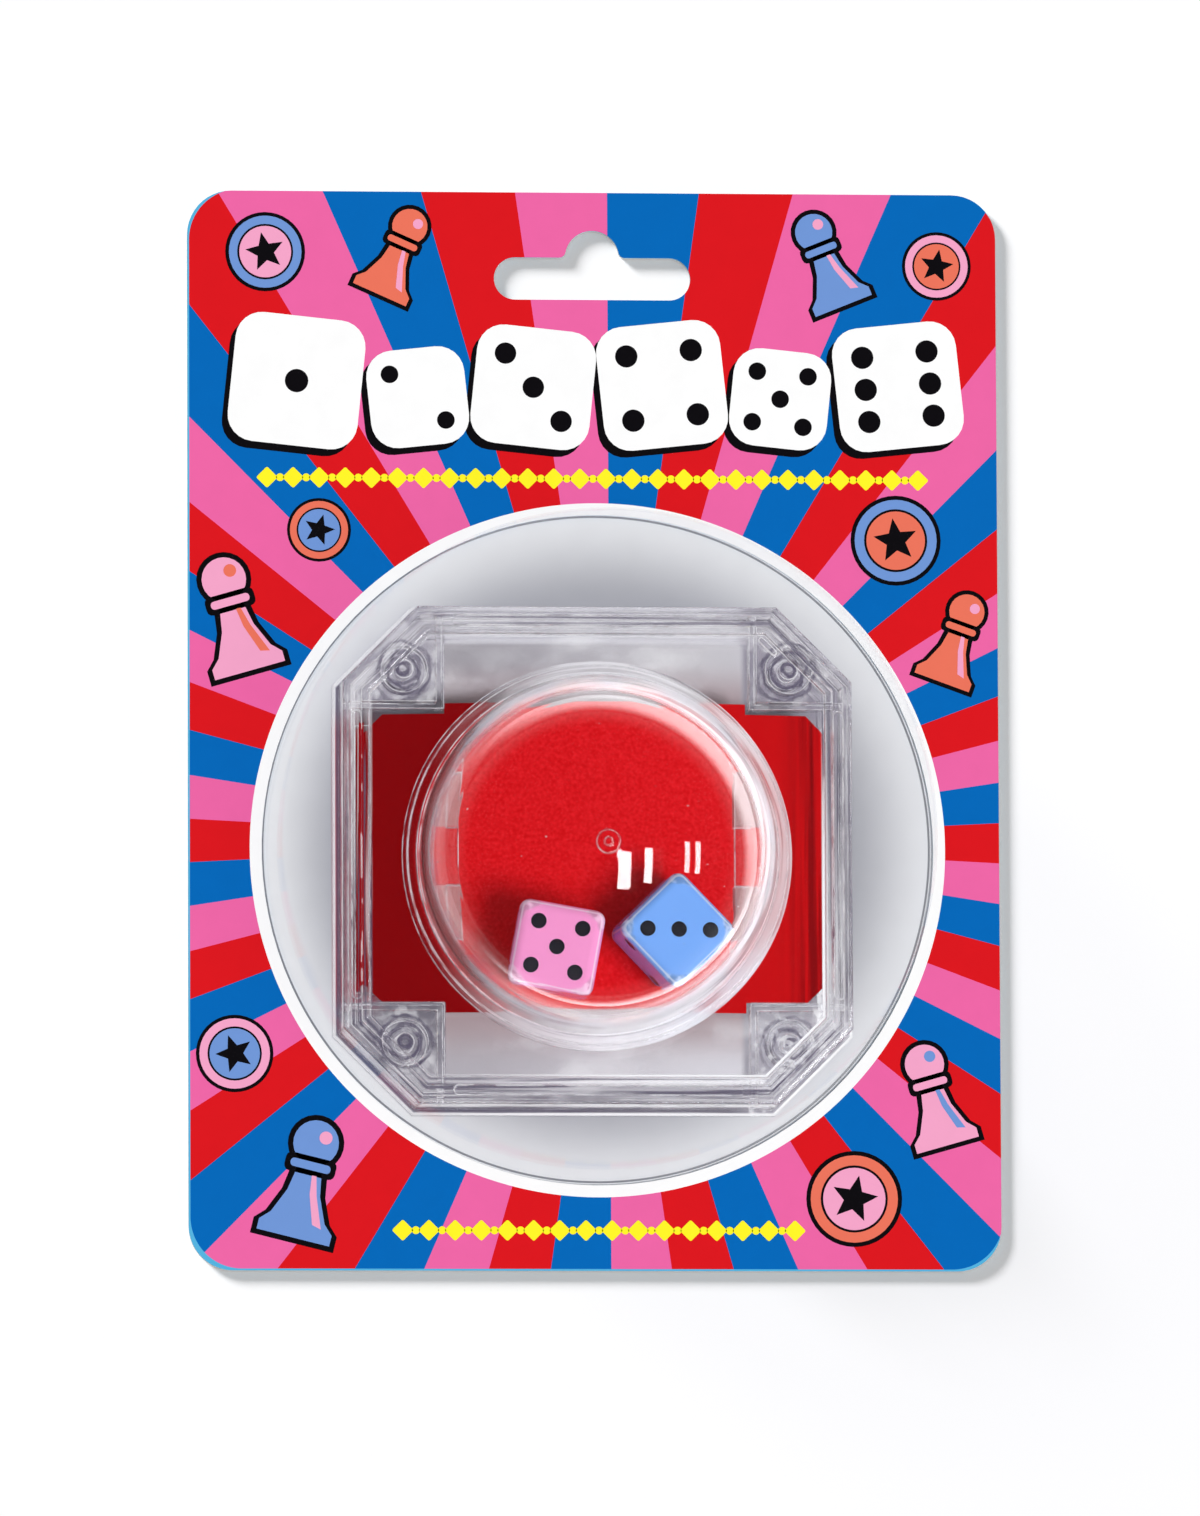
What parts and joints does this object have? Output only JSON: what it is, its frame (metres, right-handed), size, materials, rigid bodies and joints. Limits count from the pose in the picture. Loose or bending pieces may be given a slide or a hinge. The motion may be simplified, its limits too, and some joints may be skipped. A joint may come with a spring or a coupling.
{
  "type": "pop up dice game pack",
  "caption": "Carded dice popper: clear octagonal case with a press-down dome over a bowed spring leaf and dice, under a round blister on a hanging card.",
  "frame": {"origin": "centre of the card's back face", "axes": "+X across the card to the right, +Y up the card towards the hang slot, +Z out of the printed face"},
  "size_m": [0.1522, 0.203, 0.0424],
  "materials": {
    "card_print": "satin",
    "card_back": "satin",
    "blister_clear": "gloss",
    "case_clear": "gloss",
    "dome_clear": "gloss",
    "spring_steel": "satin",
    "red_sheet": "satin",
    "die_pink": "gloss",
    "die_blue": "gloss",
    "pip_ink": "gloss"
  },
  "bodies": {
    "pack": {"back_card": "card_back", "front_card": "card_print", "blister": "blister_clear", "base_tray": "case_clear", "cover": "case_clear"},
    "dome": {"dome": "dome_clear"},
    "leaf": {"spring_leaf": "spring_steel", "cover_sheet": "red_sheet"},
    "die_pink": {"die_pink": "die_pink", "die_pink_pips": "pip_ink"},
    "die_blue": {"die_blue": "die_blue", "die_blue_pips": "pip_ink"}
  },
  "joints": [
    {"name": "dome_press", "type": "slide", "parent": "pack", "child": "dome", "axis": [0, 0, -1], "range_m": [0, 0.0025], "stiffness_N_per_m": 2000, "springref_m": -0.001},
    {"name": "leaf_flex", "type": "slide", "parent": "pack", "child": "leaf", "axis": [0, 0, -1], "range_m": [0, 0.00388], "deforming": ["spring_leaf", "cover_sheet"]},
    {"name": "die_pink_hop", "type": "slide", "parent": "leaf", "child": "die_pink", "axis": [0, 0.6428, 0.766], "range_m": [0, 0.007]},
    {"name": "die_blue_hop", "type": "slide", "parent": "leaf", "child": "die_blue", "axis": [0, 0.6428, 0.766], "range_m": [0, 0.007]}
  ],
  "couplings": [
    {"joint": "leaf_flex", "follows": "dome_press", "ratio": 1.53}
  ]
}
